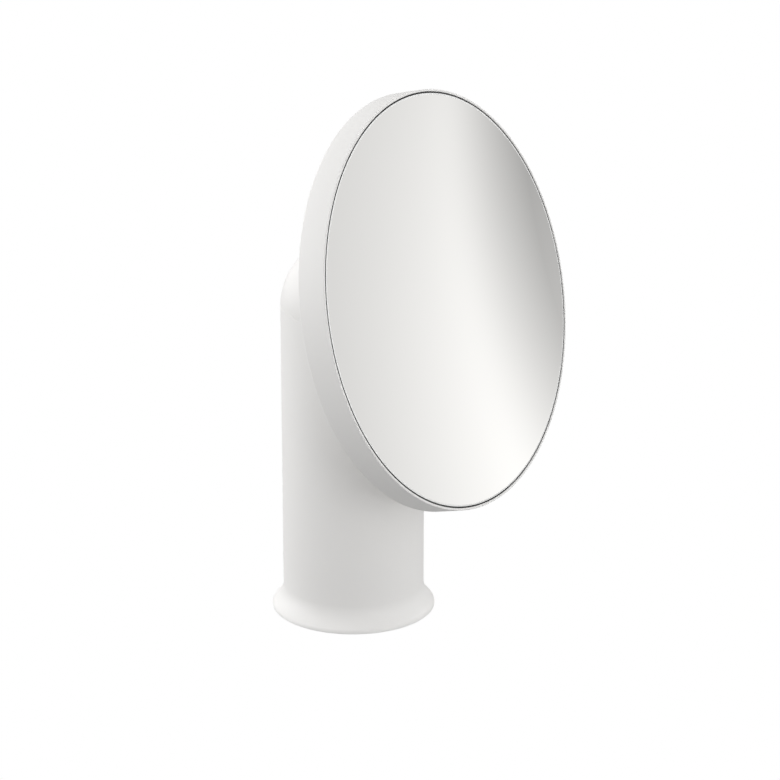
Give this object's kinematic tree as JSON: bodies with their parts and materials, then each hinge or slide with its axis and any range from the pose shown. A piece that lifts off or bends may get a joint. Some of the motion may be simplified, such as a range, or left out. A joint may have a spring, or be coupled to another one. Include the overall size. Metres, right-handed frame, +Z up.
{
  "type": "extendable shaving mirror",
  "caption": "Round concave magnifying mirror in a shallow dished casing, on a tilting and swivelling head that slides up out of a cylindrical column with a flared weighted foot.",
  "frame": {"origin": "centre of the foot pad's underside, on the column's axis", "axes": "+Z up along the column, -Y the way the mirror looks, +X to the mirror's left as it looks out"},
  "size_m": [0.2, 0.1225, 0.2663],
  "materials": {
    "white_paint": "matt white powder coat",
    "silvered_glass": "polished, concave",
    "steel": "plated, satin",
    "cast_metal": "as cast",
    "grey_plastic": "moulded, matt",
    "black_rubber": "matt",
    "grey_foam": "closed-cell foam"
  },
  "bodies": {
    "column": {"column_shell": "white_paint", "ballast": "cast_metal", "base_plate": "steel", "base_screw_1": "steel", "base_screw_2": "steel", "base_screw_3": "steel", "foot_pad": "black_rubber", "top_bush": "grey_plastic", "friction_ring": "black_rubber", "guide_key": "steel"},
    "mast": {"mast_tube": "steel", "guide_shoe": "grey_plastic", "mast_cap": "cast_metal", "mast_cap_screw_1": "steel", "mast_cap_screw_2": "steel", "mast_cap_screw_3": "steel", "swivel_washer": "grey_plastic", "wave_washer": "steel"},
    "head": {"dome_cover": "white_paint", "head_core": "cast_metal", "core_screw_1": "steel", "core_screw_2": "steel", "core_screw_3": "steel", "swivel_bolt": "steel", "lock_nut": "steel", "hinge_stem": "steel", "stem_screw_1": "steel", "stem_screw_2": "steel"},
    "mirror": {"mirror_casing": "white_paint", "mirror_glass": "silvered_glass", "glass_seal": "black_rubber", "foam_pad": "grey_foam", "hinge_bracket": "steel", "bracket_screw_1": "steel", "bracket_screw_2": "steel", "bracket_screw_3": "steel", "bracket_screw_4": "steel", "hinge_pin": "steel", "pin_nut": "steel", "friction_washer_1": "grey_plastic", "friction_washer_2": "grey_plastic"}
  },
  "joints": [
    {"name": "height_slide", "type": "slide", "parent": "column", "child": "mast", "axis": [0, 0, 1], "range_m": [0, 0.08]},
    {"name": "head_swivel", "type": "hinge", "parent": "mast", "child": "head", "pos_m": [0, 0, 0.155], "axis": [0, 0, 1], "continuous": true},
    {"name": "mirror_tilt", "type": "hinge", "parent": "head", "child": "mirror", "pos_m": [0, -0.03966, 0.1652], "axis": [-1, 0, 0], "range_deg": [-14.7, 30]}
  ]
}
